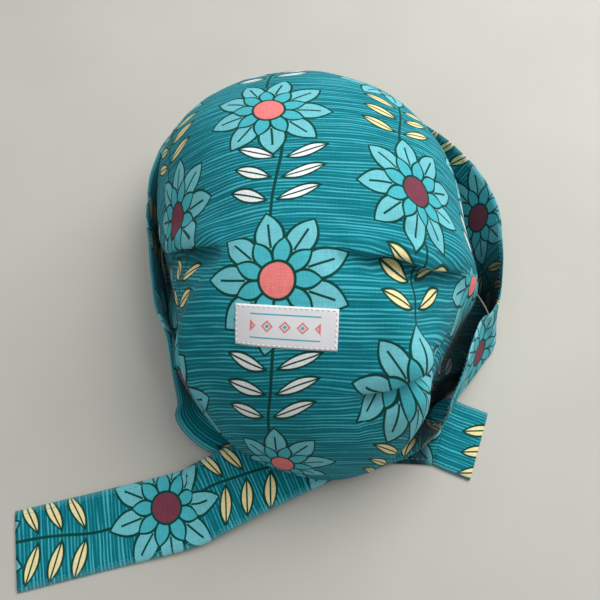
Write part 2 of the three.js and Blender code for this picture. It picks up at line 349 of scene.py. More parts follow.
def crown_surface(turn, rise):
    """The dome with its tucks and creases."""
    points = dome(turn, rise)
    out = dome_facing(turn, rise)
    free = smooth_step(ramp(rise, 0, HELD_SHARE))
    moved = points + ripple(points, out) * free[..., None] + overhang(turn, points)
    for tuck in TUCKS.values():
        across, beyond, strength, sideways = beside(points, tuck_samples(tuck["stations"]))
        a = across / tuck["width"]
        b = beyond / tuck["width"]
        fade = strength * free * np.exp(-b * b)
        depth = np.where(a > 0, tuck["over"], tuck["under"])
        lift = depth * a * np.exp((1 - a * a) / 2) * fade
        # Near the line the cloth runs back under itself, so that one layer laps the other.
        lap = -tuck["lap"] * LAP_STRENGTH * a * np.exp(-a * a / LAP_SPREAD) * fade
        moved = moved + out * lift[..., None] + sideways * lap[..., None]
    return moved


def crown_painted_shade(turn, rise):
    """How much shade is painted on each point of the crown, as it lies deep in a fold, from 0 to 1.
    """
    points = dome(turn, rise)
    around = (turn - PAINTED_FOLD_SHADE["turn"]) / PAINTED_FOLD_SHADE["half_turn"]
    deep = np.exp(-around**4) * ramp(points[..., 2], *PAINTED_FOLD_SHADE["height"])
    for tuck in TUCKS.values():
        across, beyond, strength, _ = beside(points, tuck_samples(tuck["stations"]))
        a = across / tuck["width"]
        # The painted shade in the slot is darkest a little way in under the upper layer.
        b = beyond / tuck["width"]
        slot = np.exp(-((a - PAINTED_SLOT_SHADE["place"]) / PAINTED_SLOT_SHADE["half_width"]) ** 2 - b**2) * strength
        deep = np.maximum(deep, slot * min(tuck["under"] / DEEPEST_TUCK, 1) ** PAINTED_SLOT_SHADE["power"])
    return deep


def nearest_on_dome(targets, turn, rise):
    """The turn and rise of the dome's points nearest to targets, from a first guess."""
    turn = np.full(targets.shape[:-1], turn)
    rise = np.full(targets.shape[:-1], rise)
    step = 1e-4
    for _ in range(8):
        here = dome(turn, rise)
        by_turn = (dome(turn + step, rise) - here) / step
        by_rise = (dome(turn, rise + step) - here) / step
        slopes = np.stack([by_turn, by_rise], -2)
        along = slopes @ (targets - here)[..., None]
        move = np.linalg.solve(slopes @ slopes.swapaxes(-1, -2), along)
        turn = turn + move[..., 0, 0]
        rise = rise + move[..., 1, 0]
    return turn, rise


def beside_rim(turn):
    """The point of a band's sewn edge beside the rim."""
    place = rim(turn)[0]
    run = unit(rim(turn + 0.001)[0] - rim(turn - 0.001)[0])
    return place + np.stack([run[..., 1], -run[..., 0]], -1) * SEWING_OFFSET


def band_stations(direction, seam_leans, tie_rows, free_length, bearing):
    """Rows of (x, y, height, lean) from the middle of the brow to the tie's cut end."""
    rows = len(seam_leans) - 1
    stations = []
    for share in np.linspace(0, 1, rows * STATIONS_PER_ROW + 1):
        turn = (BROW_ROW + share * rows * direction) / RIM_COUNT
        x, y = beside_rim(np.array(turn))
        lean = smooth_path([[lean] for lean in seam_leans], np.array(share), False)[0]
        stations.append((x, y, SEAM_HEIGHT, lean))
    for side, along, height, lean in tie_rows:
        stations.append((side * HALF_WIDTH, along * HALF_LENGTH, height, lean))
    x, y, _, lean = stations[-1]
    for share in (0.5, 1.0):
        run = math.radians(bearing)
        stations.append((x + free_length * share * math.cos(run),
                         y + free_length * share * math.sin(run), FLAT_HEIGHT, lean))
    return np.array(stations)


class Strip:
    """A band as a surface over (share of its length, share of its width)."""

    def __init__(self, stations, outward):
        self.stations = stations
        self.outward = outward
        fine = smooth_path(stations, np.linspace(0, 1, STRIP_SAMPLES), False)[:, :3]
        steps = np.linalg.norm(np.diff(fine, axis=0), axis=1)
        self.lengths = np.concatenate([[0], np.cumsum(steps)])
        self.length = self.lengths[-1]

    def __call__(self, share, width):
        place = np.interp(np.clip(share, 0, 1) * self.length, self.lengths,
                          np.linspace(0, 1, STRIP_SAMPLES))
        held = np.clip(place, 0.001, 0.999)
        run = (smooth_path(self.stations, held + 0.001, False)
               - smooth_path(self.stations, held - 0.001, False))
        outside = unit(np.stack([-run[..., 1], run[..., 0]], -1)) * self.outward
        x, y, z, lean = np.moveaxis(smooth_path(self.stations, place, False), -1, 0)
        lean = np.radians(lean)
        z = np.maximum(z, FLAT_HEIGHT * np.abs(np.cos(lean)))
        reach = np.cos(lean) * width * BAND_WIDTH
        return np.stack([x + outside[..., 0] * reach, y + outside[..., 1] * reach,
                         z + np.sin(lean) * width * BAND_WIDTH], -1)


def make_strip(name):
    return Strip(band_stations(**BANDS[name]), -BANDS[name]["direction"])


def drawing_shift():
    """From the drawing's origin to the part's: the left band's box is the same in both."""
    strip = make_strip("left_band")
    share, width = np.meshgrid(np.linspace(0, 1, 400), np.linspace(0, 1, 12))
    points = strip(share, width).reshape(-1, 3)
    low, high = (np.array(corner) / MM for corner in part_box("left_band"))
    shift = (low + high) / 2 - (points.min(0) + points.max(0)) / 2
    shift[2] = FLOOR_RISE
    return shift


SHIFT = drawing_shift()


def placed(points):
    """Drawing millimetres as metres in the part's frame."""
    return (np.asarray(points) + SHIFT) * MM


# Meshes
def grid_mesh(points, flat, **marks):
    """A bmesh grid over points[row, column], with flat as its UV in millimetres, and marks as
    values of its vertices."""
    rows, columns = points.shape[:2]
    mesh = bmesh.new()
    bmesh.ops.create_grid(mesh, x_segments=columns - 1, y_segments=rows - 1, size=1)
    layer = mesh.loops.layers.uv.new("cloth")
    for name in marks:
        mesh.verts.layers.float.new(name)
    where = {}
    for vert in mesh.verts:
        column = round((vert.co.x + 1) / 2 * (columns - 1))
        row = round((vert.co.y + 1) / 2 * (rows - 1))
        where[vert] = (row, column)
        vert.co = points[row, column]
        for name, values in marks.items():
            vert[mesh.verts.layers.float[name]] = values[row, column]
    for face in mesh.faces:
        face.smooth = True
        for loop in face.loops:
            loop[layer].uv = flat[where[loop.vert]]
    return mesh


def add_object(name, data):
    made = bpy.data.objects.new(name, data)
    bpy.context.scene.collection.objects.link(made)
    return made


def finish_mesh(name, mesh, *materials):
    data = bpy.data.meshes.new(name)
    mesh.to_mesh(data)
    mesh.free()
    piece = add_object(name, data)
    for material in materials:
        data.materials.append(material)
    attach(piece, "root")
    return piece


def thicken(piece, thickness):
    """Gives a single layer its thickness, inwards from its face."""
    wall = piece.modifiers.new("cloth thickness", "SOLIDIFY")
    wall.thickness = thickness
    wall.offset = -1
    return wall


def centre_line_lengths(coordinate):
    """Pairs of (coordinate, length) along the dome's middle, from the nape to the brow."""
    rise = np.linspace(0, 1, 200)
    nape = dome(np.full(200, NAPE_ROW / RIM_COUNT), rise)
    brow = dome(np.full(200, BROW_ROW / RIM_COUNT), rise[::-1])
    line = np.concatenate([nape, brow[1:]])
    line[:, 0] = 0
    steps = np.linalg.norm(np.diff(line, axis=0), axis=1)
    length = np.concatenate([[0], np.cumsum(steps)])
    value = coordinate(line)
    order = np.argsort(value)
    return value[order], length[order], line[order]


# The rows of the print lie in planes that fan out from lines across the cap: far behind the nape
# for the back of the crown, and inside the dome for its front.
BACK_FAN = (-188.0, 365.0)
FRONT_FAN = 55.0
# A chord of this length across the dome is half as long again over its cloth.
DOME_BEND = 190.0


def back_angle(points):
    return np.arctan2(points[..., 1] - BACK_FAN[0], BACK_FAN[1] - points[..., 2])


def front_reach(points):
    y = points[..., 1]
    beyond = np.maximum(y - FRONT_FAN, 0)
    bent = FRONT_FAN + CROWN_HEIGHT * np.arctan2(beyond, np.maximum(points[..., 2], 1e-3))
    return np.where(y > FRONT_FAN, bent, y)


def cloth_place(points, coordinate):
    """Millimetres across and along the cloth for points of the dome."""
    value, length, line = centre_line_lengths(coordinate)
    here = coordinate(points)
    along = np.interp(here, value, length)
    middle = np.stack([np.interp(here, value, line[:, axis]) for axis in range(3)], -1)
    chord = np.linalg.norm(points - middle, axis=-1)
    arc = chord * (1 + (chord / DOME_BEND) ** 2 / 2)
    return np.sign(points[..., 0]) * arc, along


def crown_cloth(points):
    """The crown's place on its flat cloth, which jumps at each tuck by what the tuck hides."""
    back = np.stack(cloth_place(points, back_angle), -1)
    front = np.stack(cloth_place(points, front_reach), -1)
    parts = [tuck_samples(TUCKS[name]["stations"]) for name in PLEAT_PATH]
    path = [np.concatenate(pair) for pair in zip(*parts)]
    across, _, _, _ = beside(points, path)
    reach = np.abs(points[..., 0] - PLEAT_MIDDLE)
    soft = np.interp(reach, (0, PLEAT_REACH), PLEAT_WIDTHS)
    share = smooth_step(np.clip(across / soft / 2 + 0.5, 0, 1)[..., None])
    flat = back + (front - back) * share
    for name in LOWER_TUCKS:
        across, beyond, strength, _ = beside(points, tuck_samples(TUCKS[name]["stations"]))
        far = (across / LOWER_TUCK_PULL[0]) ** 2 + (beyond / LOWER_TUCK_PULL[1]) ** 2
        under = np.where(across < 0, np.exp(-far), 0)
        flat += (strength * under)[..., None] * LOWER_TUCK_SHIFT
    return flat


def make_crown(sizes, materials):
    # The first rows of the grid are the hem's loose corner, all starting from the rim.
    around, up, inside = CROWN_GRID.values()
    turn, share = np.meshgrid(np.linspace(0, 1, around + 1), np.linspace(0, 1, up + 1))
    turn = np.concatenate([np.repeat(turn[:1], inside, 0), turn])
    share = np.concatenate([np.repeat(share[:1], inside, 0), share])
    # Rows lie closer together near the lower edge.
    rise = share**1.35
    points, flat = crown_surface(turn, rise), crown_cloth(dome(turn, rise))
    deep = crown_painted_shade(turn, rise)
    near = (turn[:inside] - LOOSE_HEM["turn"]) / LOOSE_HEM["half_turn"]
    near = np.clip(1 - near**2, 0, 1)
    below = np.linspace(1, 1 / inside, inside)[:, None] * near**0.5
    corner = points[:inside]
    hang = np.minimum(LOOSE_HEM["hang"], corner[..., 2] - LOOSE_HEM["floor_gap"]) * below
    away = unit(corner[..., :2] - APEX)
    corner[..., :2] += away * LOOSE_HEM["outward"] * (below * near)[..., None]
    corner[..., 2] -= hang
    flat[:inside, :, 1] -= hang
    # The hem's loose corner is painted in full shade.
    deep[:inside] = np.maximum(deep[:inside], near > 0)
    mesh = grid_mesh(placed(points), flat, deep=deep)
    bmesh.ops.remove_doubles(mesh, verts=mesh.verts, dist=1e-5)
    crown = finish_mesh("crown_cloth", mesh, *materials)
    thicken(crown, sizes.crown_thickness).material_offset = 1
    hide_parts("crown")
    return crown


def band_points(strip, share, width, side, thickness):
    """Points of one side of a folded strip, and the direction that side faces."""
    out = facing(strip, share, np.clip(width, 0.002, 0.998)) * side[..., None]
    # Its long edges are thinner, as pressed folds are.
    inset = np.minimum(width, 1 - width) * BAND_WIDTH
    edge = 1 - ramp(inset, 0, PRESSED_EDGE["width"])
    half = thickness / MM / 2 * (1 - PRESSED_EDGE["thinning"] * edge**2)
    along = share * strip.length
    # On the table it can wave only upwards.
    flat_part = ramp(strip.length - along, *FLAT_STRETCH)
    wave = (0.45 * np.sin(along / 13.0 + 2 * width) * np.sin(along / 29.0 + 1.1)
            + 0.2 * np.sin(along / 5.1 + 3 * width)) * (1 - flat_part)
    points = strip(share, width) + out * (half + wave * side)[..., None]
    points[..., 2] += 0.25 * np.abs(np.sin(along / 17.0) * np.sin(width * 3.1)) * flat_part
    return points, out


def band_painted_shade(points, out):
    """How much shade is painted on each point of a strip, as it lies deep in a fold, from 0 to 1.
    """
    x, y, z = np.moveaxis(points, -1, 0)
    inner = (out[..., :2] * (points[..., :2] - APEX)).sum(-1) < 0
    level = (y - INNER_SHADE["along"]) / INNER_SHADE["half_along"]
    deep = inner * np.exp(-(level**2)) * ramp(x, *INNER_SHADE["side"])
    under_crown = ramp(x, *UNDER_CROWN["left"]) * ramp(x, *UNDER_CROWN["right"])
    deep = np.where(z < UNDER_CROWN["height"], under_crown, deep)
    far = (((x - TURNED_IN["side"]) / TURNED_IN["half_side"]) ** 2
           + ((y - TURNED_IN["along"]) / TURNED_IN["half_along"]) ** 2)
    return np.maximum(deep, np.exp(-far**2))


def make_band(name, sizes, materials):
    strip = make_strip(name)
    columns = int(strip.length / 2.2)
    sides = 15
    # Once round the folded strip: across one side, round its edge, back across the other.
    width = np.concatenate([np.linspace(0, 1, sides), np.linspace(1, 0, sides), [0]])
    side = np.concatenate([np.ones(sides), -np.ones(sides), [1]])
    share, width = np.meshgrid(np.linspace(0, 1, columns), width)
    side = np.repeat(side[:, None], columns, 1)
    points, out = band_points(strip, share, width, side, sizes.band_thickness)
    # One strip is cut along the columns of the print, and the other along its lines.
    sides_of_cloth = [width * BAND_WIDTH, share * strip.length]
    if BANDS[name]["direction"] > 0:
        sides_of_cloth.reverse()
    flat = np.stack(sides_of_cloth, -1) + PRINT_START[name]
    # A highlight is painted along the strip's pressed edges, and shade where it lies in folds.
    edge_highlight = np.where(np.minimum(width, 1 - width) < 0.01, 1.0, 0.0)
    mesh = grid_mesh(placed(points), flat, fold=edge_highlight, deep=band_painted_shade(points, out))
    bmesh.ops.remove_doubles(mesh, verts=mesh.verts, dist=1e-5)
    rim_edges = [edge for edge in mesh.edges if edge.is_boundary]
    bmesh.ops.holes_fill(mesh, edges=rim_edges, sides=0)
    bmesh.ops.recalc_face_normals(mesh, faces=mesh.faces)
    band = finish_mesh(name + "_cloth", mesh, *materials)
    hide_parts(name)
    return band


def make_topstitching(sizes, materials):
    """The rows of thread that close the folded strips, and hem the crown at the nape."""
    mesh = bmesh.new()
    share = np.linspace(0.003, 0.997, 600)
    inset = TOPSTITCH_INSET / BAND_WIDTH
    for name in BANDS:
        strip = make_strip(name)
        for width in (inset, 1 - inset):
            for side in (1.0, -1.0):
                points, out = band_points(strip, share, np.full_like(share, width),
                                          np.full_like(share, side), sizes.band_thickness)
                # Threads against the table are left out.
                add_stitches(mesh, points, out, TOPSTITCH, lowest=0.5)
    turn = np.linspace(NAPE_HEM["first"], NAPE_HEM["last"], 500)
    rise = np.full_like(turn, NAPE_HEM["rise"])
    add_stitches(mesh, crown_surface(turn, rise), dome_facing(turn, rise), TOPSTITCH)
    stitches = finish_mesh("topstitching", mesh, *materials)
    return stitches


def label_points(height, columns, rows):
    """A grid over the label's place on the crown, at a height over the cloth."""
    turn, rise = np.array(LABEL_TURN), np.array(LABEL_RISE)
    middle = dome(turn, rise)
    out = dome_facing(turn, rise)
    tilt = math.radians(LABEL_TILT)
    sideways = np.array([math.cos(tilt), -math.sin(tilt), 0])
    sideways = unit(sideways - out * sideways.dot(out))
    upwards = np.cross(out, sideways)
    x, y = np.meshgrid(columns, rows)
    targets = middle + x[..., None] * sideways + y[..., None] * upwards
    turn, rise = nearest_on_dome(targets, LABEL_TURN, LABEL_RISE)
    lift = np.asarray(height)[..., None] if np.ndim(height) else height
    return crown_surface(turn, rise) + dome_facing(turn, rise) * lift


def make_label(materials):
    columns = np.linspace(-LABEL_WIDTH / 2, LABEL_WIDTH / 2, 61)
    rows = np.linspace(-LABEL_DEPTH / 2, LABEL_DEPTH / 2, 25)
    x, y = np.meshgrid(columns, rows)
    rim_gap = np.minimum(LABEL_WIDTH / 2 - np.abs(x), LABEL_DEPTH / 2 - np.abs(y))
    lift = LABEL_LIFT + LABEL_PUFF * ramp(rim_gap, 0, LABEL_EDGE) ** 0.5
    mesh = grid_mesh(placed(label_points(lift, columns, rows)), np.stack([x, y], -1))
    label = finish_mesh("woven_label", mesh, *materials)
    thicken(label, LABEL_THICKNESS * MM)
    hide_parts("label")
    return label


def stitch_line(points, outs, pitch):
    """Stitch places every pitch millimetres along a line of drawing points."""
    steps = np.linalg.norm(np.diff(points, axis=0), axis=1)
    along = np.concatenate([[0], np.cumsum(steps)])
    count = max(int(along[-1] / pitch), 1)
    marks = (np.arange(count) + 0.5) * along[-1] / count
    at = [np.interp(marks, along, points[:, axis]) for axis in range(3)]
    out = [np.interp(marks, along, outs[:, axis]) for axis in range(3)]
    runs = unit(np.gradient(np.stack(at, -1), axis=0))
    return zip(np.stack(at, -1), runs, unit(np.stack(out, -1)))


def thread_shape():
    """A small round mesh of radius 1, which each thread is stretched from."""
    thread = bmesh.new()
    bmesh.ops.create_uvsphere(thread, u_segments=6, v_segments=4, radius=1)
    for face in thread.faces:
        face.smooth = True
    shape = bpy.data.meshes.new("thread")
    thread.to_mesh(shape)
    thread.free()
    return shape


def add_stitches(mesh, points, outs, thread, lowest=-1.0):
    """Short rounded threads along a line of drawing points, each half sunk into the cloth."""
    shape = thread_shape()
    ends = np.array([vert.co for vert in shape.vertices])
    half_length = thread["length"] * MM / 2
    radius = thread["radius"] * MM
    where = []
    for place, run, out in stitch_line(points, outs, thread["pitch"]):
        if place[2] <= lowest:
            continue
        mesh.from_mesh(shape)
        axes = np.stack([run * half_length, np.cross(out, run) * radius, out * radius])
        where.append(placed(place) + ends @ axes)
    new_verts = list(mesh.verts)[-len(where) * len(ends):]
    for vert, spot in zip(new_verts, np.concatenate(where)):
        vert.co = spot
    bpy.data.meshes.remove(shape)


def make_label_stitches(material):
    """The threads that hold the label down, in a row along each of its sides."""
    mesh = bmesh.new()
    half_width = LABEL_WIDTH / 2 - LABEL_STITCH_INSET
    half_depth = LABEL_DEPTH / 2 - LABEL_STITCH_INSET
    across = np.linspace(-half_width, half_width, 40)
    upward = np.linspace(-half_depth, half_depth, 20)
    for columns, rows in ((across, [half_depth]), (across, [-half_depth]),
                          ([half_width], upward), ([-half_width], upward)):
        line = label_points(LABEL_STITCH_LIFT, columns, rows).reshape(-1, 3)
        over = label_points(LABEL_STITCH_LIFT + 1, columns, rows).reshape(-1, 3)
        add_stitches(mesh, line, over - line, LABEL_STITCH)
    stitches = finish_mesh("label_stitches", mesh, material)
    return stitches


# Materials
def linear(colour):
    """An sRGB hex colour as linear values with full alpha."""
    parts = [int(colour[i:i + 2], 16) / 255 for i in (1, 3, 5)]
    return [part / 12.92 if part <= 0.04045 else ((part + 0.055) / 1.055) ** 2.4
            for part in parts] + [1.0]


def add_node(tree, kind, *inputs, **settings):
    """Adds a shader node with its settings, and fills its inputs in order or by name."""
    node = tree.nodes.new("ShaderNode" + kind)
    named = settings.pop("named", {})
    for key, value in settings.items():
        setattr(node, key, value)
    for key, value in list(enumerate(inputs)) + list(named.items()):
        if value is None:
            continue
        socket = node.inputs[key]
        if isinstance(value, bpy.types.Node):
            value = value.outputs[0]
        if isinstance(value, bpy.types.NodeSocket):
            tree.links.new(value, socket)
        else:
            socket.default_value = value
    return node


def maths(tree, operation, *inputs):
    return add_node(tree, "Math", *inputs, operation=operation)


def vectors(tree, operation, *inputs):
    return add_node(tree, "VectorMath", *inputs, operation=operation)


def split(tree, vector):
    return add_node(tree, "SeparateXYZ", vector).outputs[:]


def new_material(name, roughness, sheen):
    material = bpy.data.materials.new(name)
    material.use_nodes = True
    tree = material.node_tree
    shader = tree.nodes["Principled BSDF"]
    shader.inputs["Roughness"].default_value = roughness
    shader.inputs["Sheen Weight"].default_value = sheen
    shader.inputs["Sheen Roughness"].default_value = 0.6
    shader.inputs["Specular IOR Level"].default_value = 0.12
    return material, tree, shader


def motif_place(tree, cloth, spot, drift):
    """The place round a motif's middle, and three random numbers that each motif has for itself."""
    moved = vectors(tree, "SUBTRACT", cloth, (*spot, 0.5))
    ahead = vectors(tree, "ADD", moved, [side / 2 for side in REPEAT])
    cell = vectors(tree, "SNAP", ahead, REPEAT)
    chance = add_node(tree, "TexWhiteNoise", cell).outputs["Color"]
    place = vectors(tree, "SUBTRACT", moved, cell)
    shift = vectors(tree, "SUBTRACT", chance, (0.5, 0.5, 0.5))
    place = vectors(tree, "MULTIPLY_ADD", shift, (drift, drift, 0), place)
    return place, chance


def layer(tree, below, colour, mask):
    """Paints a colour over what is below, where the mask is 1."""
    mixed = add_node(tree, "Mix", data_type="RGBA", named={0: mask})
    tree.links.new(below, mixed.inputs[6])
    mixed.inputs[7].default_value = colour
    return mixed.outputs[2]


def paint(tree, below, colour, value, edge):
    """Paints a colour where a value in millimetres is over an edge, with a soft line between."""
    mask = add_node(tree, "MapRange", value, edge - INK_SPREAD, edge + INK_SPREAD, 0.0, 1.0)
    return layer(tree, below, colour, mask)


def petal_ring(tree, turn, radius, reach, half_length, half_width):
    """Millimetres inside the nearest of a ring of pointed petals, from its middle line, and
    along that line from its middle."""
    petal = maths(tree, "ROUND", maths(tree, "MULTIPLY", turn, PETALS / math.tau))
    middle = maths(tree, "MULTIPLY_ADD", petal, -math.tau / PETALS, turn)
    along = maths(tree, "MULTIPLY", maths(tree, "COSINE", middle), radius)
    across = maths(tree, "MULTIPLY", maths(tree, "SINE", middle), radius)
    across = maths(tree, "ABSOLUTE", across)
    far = maths(tree, "SUBTRACT", along, reach)
    share = maths(tree, "POWER", maths(tree, "DIVIDE", far, half_length), 2.0)
    width = maths(tree, "MULTIPLY_ADD", share, -half_width, half_width)
    inside = maths(tree, "SUBTRACT", width, across)
    # Beyond its tip a petal doesn't come back.
    far = maths(tree, "ABSOLUTE", far)
    end = maths(tree, "SUBTRACT", half_length, far)
    return maths(tree, "MINIMUM", inside, end), across, far


def rosette(tree, cloth, below, spot, colours, middle_colour):
    """A round ornament: a ring of pointed petals, a smaller ring over it and a filled middle."""
    place, chance = motif_place(tree, cloth, spot, ROSETTE_DRIFT)
    x, y, _ = split(tree, place)
    radius = vectors(tree, "LENGTH", place).outputs["Value"]
    turn = maths(tree, "ARCTAN2", y, x)
    turn = maths(tree, "MULTIPLY_ADD", split(tree, chance)[2], math.tau, turn)
    inside, across, far = petal_ring(tree, turn, radius, **OUTER_PETALS)
    painted = paint(tree, below, colours["outline"], inside, -0.7)
    painted = paint(tree, painted, colours["petal"], inside, 0.8)
    vein = maths(tree, "SUBTRACT", VEIN["half_width"], across)
    short = maths(tree, "SUBTRACT", VEIN["half_length"], far)
    vein = maths(tree, "MINIMUM", vein, short)
    painted = paint(tree, painted, colours["outline"], vein, 0.0)
    turned = maths(tree, "ADD", turn, math.pi / PETALS)
    inside, _, _ = petal_ring(tree, turned, radius, **INNER_PETALS)
    painted = paint(tree, painted, colours["outline"], inside, -0.7)
    painted = paint(tree, painted, colours["line"], inside, 0.7)
    inward = maths(tree, "SUBTRACT", MIDDLE_RADIUS, radius)
    painted = paint(tree, painted, colours["outline"], inward, 0.0)
    return paint(tree, painted, middle_colour, inward, 1.4)


def sprig(tree, cloth, below, spot, colours, leaf_colour):
    """A bent stem with three pairs of pointed leaves."""
    place, _ = motif_place(tree, cloth, spot, SPRIG_DRIFT)
    x, y, _ = split(tree, place)
    bend = maths(tree, "SINE", maths(tree, "MULTIPLY", y, STEM["bend"]))
    side = maths(tree, "MULTIPLY_ADD", bend, -STEM["sway"], x)
    side = maths(tree, "ABSOLUTE", side)
    height = maths(tree, "ABSOLUTE", y)
    end = maths(tree, "SUBTRACT", STEM["half_length"], height)
    stem = maths(tree, "SUBTRACT", STEM["half_width"], side)
    stem = maths(tree, "MINIMUM", stem, end)
    painted = paint(tree, below, colours["outline"], stem, 0.0)
    # The leaves slope up from the stem, each an almond about a middle 13 mm out from it.
    rise = maths(tree, "MULTIPLY_ADD", side, -0.4, y)
    leaf = maths(tree, "WRAP", rise, LEAF_HALF_PITCH, -LEAF_HALF_PITCH)
    leaf = maths(tree, "ABSOLUTE", leaf)
    reach = maths(tree, "MULTIPLY_ADD", side, 0.085, -1.12)
    reach = maths(tree, "MULTIPLY", reach, reach)
    almond = maths(tree, "MULTIPLY_ADD", reach, -4.6, 4.3)
    almond = maths(tree, "SUBTRACT", almond, leaf)
    level = maths(tree, "ABSOLUTE", rise)
    level = maths(tree, "SUBTRACT", 3 * LEAF_HALF_PITCH, level)
    almond = maths(tree, "MINIMUM", almond, level)
    painted = paint(tree, painted, colours["outline"], almond, 0.0)
    # A vein and an outline are left dark in each leaf.
    light = maths(tree, "SUBTRACT", leaf, 0.5)
    filled = maths(tree, "SUBTRACT", almond, 1.3)
    light = maths(tree, "MINIMUM", light, filled)
    return paint(tree, painted, leaf_colour, light, 0.0)


def stretched_noise(tree, cloth, x, y, detail):
    """Soft noise with x features to the millimetre along the lines and y across them."""
    grain = vectors(tree, "MULTIPLY", cloth, (x, y, 0))
    return add_node(tree, "TexNoise", noise_dimensions="2D",
                    named={"Vector": grain, "Scale": 1.0, "Detail": detail})


def brushed_lines(tree, cloth, colours):
    """Fine pale lines across the cloth that wander, swell and fade, as a dry brush leaves them."""
    # A slower wave makes about one line in three fainter.
    wander = stretched_noise(tree, cloth, 0.012, 0.08, 2.0)
    level = maths(tree, "MULTIPLY_ADD", wander, BRUSH["wander"], split(tree, cloth)[1])
    level = maths(tree, "MULTIPLY", level, math.tau / LINE_PITCH)
    wave = maths(tree, "SINE", level)
    slow = maths(tree, "SINE", maths(tree, "MULTIPLY", level, 0.37))
    wave = maths(tree, "MULTIPLY_ADD", slow, BRUSH["slow"], wave)
    swell = stretched_noise(tree, cloth, 0.02, 0.4, 2.0)
    wave = maths(tree, "MULTIPLY_ADD", swell, BRUSH["swell"], wave)
    streak = stretched_noise(tree, cloth, 0.035, 1.6, 3.0)
    wave = maths(tree, "MULTIPLY_ADD", streak, BRUSH["streak"], wave)
    share = add_node(tree, "MapRange", wave, *BRUSH_LEVELS, 0.0, 1.0)
    ramp = add_node(tree, "ValToRGB", share)
    stops = ramp.color_ramp.elements
    stops[0].position, stops[0].color = 0.0, colours["ground"]
    stops[1].position, stops[1].color = 0.85, colours["line"]
    stops.new(0.5).color = colours["between"]
    return ramp.outputs[0]


def cloth_bump(tree, cloth, shader, pitch, strength):
    """Plain weave: threads over and under each other, pitch millimetres apart."""
    fine = vectors(tree, "MULTIPLY", cloth, (math.pi / pitch,) * 3)
    x, y, _ = split(tree, fine)
    weave = maths(tree, "MULTIPLY", maths(tree, "SINE", x), maths(tree, "SINE", y))
    slub = add_node(tree, "TexNoise", named={"Vector": cloth, "Scale": 0.5, "Detail": 3.0})
    height = maths(tree, "MULTIPLY_ADD", slub, 1.6, weave)
    bump = add_node(tree, "Bump", named={"Height": height, "Strength": strength,
                                         "Distance": 0.12 * MM})
    tree.links.new(bump.outputs[0], shader.inputs["Normal"])


def tinted_at(tree, painted, mark, tint, strength):
    """Tints the cloth where its vertices carry a mark."""
    amount = add_node(tree, "Attribute", attribute_name=mark).outputs["Fac"]
    amount = maths(tree, "MULTIPLY", amount, strength)
    return layer(tree, painted, linear(tint), amount)


def printed_cotton(name, colours, faded):
    """Quilting-weight plain-weave cotton, screen printed: matt, with a soft fuzz of sheen."""
    material, tree, shader = new_material(name, 0.88, 0.03)
    uv = add_node(tree, "UVMap", uv_map="cloth")
    drift = add_node(tree, "TexNoise", named={"Vector": uv, "Scale": 0.025, "Detail": 1.0})
    drift = vectors(tree, "SUBTRACT", drift.outputs["Color"], (0.5, 0.5, 0.5))
    cloth = vectors(tree, "MULTIPLY_ADD", drift, (CLOTH_DRIFT, CLOTH_DRIFT, 0.0), uv)
    painted = brushed_lines(tree, cloth, colours)
    for spot, leaf in SPRIGS:
        painted = sprig(tree, cloth, painted, spot, colours, colours[leaf])
    for spot, middle in ROSETTES:
        painted = rosette(tree, cloth, painted, spot, colours, colours[middle])
    # Ink sits unevenly on the threads, in short streaks both ways, and the cloth's back is paler.
    warp = stretched_noise(tree, uv, 0.11, 1.5, 3.0)
    weft = stretched_noise(tree, uv, 1.5, 0.11, 3.0)
    uneven = maths(tree, "ADD", warp, weft)
    shade = add_node(tree, "MapRange", uneven, 0.7, 1.3, 0.88, 1.12)
    shaded = add_node(tree, "HueSaturation", named={"Value": shade, "Color": painted,
                                                    "Saturation": 0.7 if faded else 1.0})
    finished = shaded.outputs[0]
    if faded:
        finished = layer(tree, finished, linear(BACK_TINT[0]), BACK_TINT[1])
    # Pressed edges get a painted highlight, and deep folds get painted shade.
    finished = tinted_at(tree, finished, "fold", *EDGE_HIGHLIGHT_TINT)
    finished = tinted_at(tree, finished, "deep", *PAINTED_SHADE_TINT)
    tree.links.new(finished, shader.inputs["Base Color"])
    # The weave is drawn at about twice its real pitch, so that it shows.
    cloth_bump(tree, uv, shader, WEAVE_PITCH, 0.22)
    return material


def woven_label_cloth(colours):
    """A label woven in polyester satin: smooth, with fine ribs and a soft gloss."""
    material, tree, shader = new_material("woven_satin", 0.55, 0.1)
    uv = add_node(tree, "UVMap", uv_map="cloth")
    x, y, _ = split(tree, uv)
    side = maths(tree, "ABSOLUTE", maths(tree, "WRAP", x, LOZENGE_PITCH / 2, -LOZENGE_PITCH / 2))
    level = maths(tree, "ABSOLUTE", y)
    inside = maths(tree, "SUBTRACT", 2 * LOZENGE_PITCH, maths(tree, "ABSOLUTE", x))
    spot = maths(tree, "SUBTRACT", LOZENGE_HALF_WIDTH, maths(tree, "ADD", side, level))
    spot = maths(tree, "MINIMUM", spot, inside)
    plain = add_node(tree, "RGB").outputs[0]
    plain.default_value = colours["label"]
    painted = paint(tree, plain, colours["coral"], spot, 0.0)
    painted = paint(tree, painted, colours["label"], spot, 1.1)
    painted = paint(tree, painted, colours["line"], spot, 1.8)
    rule = maths(tree, "ABSOLUTE", maths(tree, "SUBTRACT", level, RULE["level"]))
    rule = maths(tree, "SUBTRACT", RULE["half_width"], rule)
    rule = maths(tree, "MINIMUM", rule, inside)
    painted = paint(tree, painted, colours["line"], rule, 0.0)
    tree.links.new(painted, shader.inputs["Base Color"])
    cloth_bump(tree, uv, shader, LABEL_RIB_PITCH, 0.25)
    return material


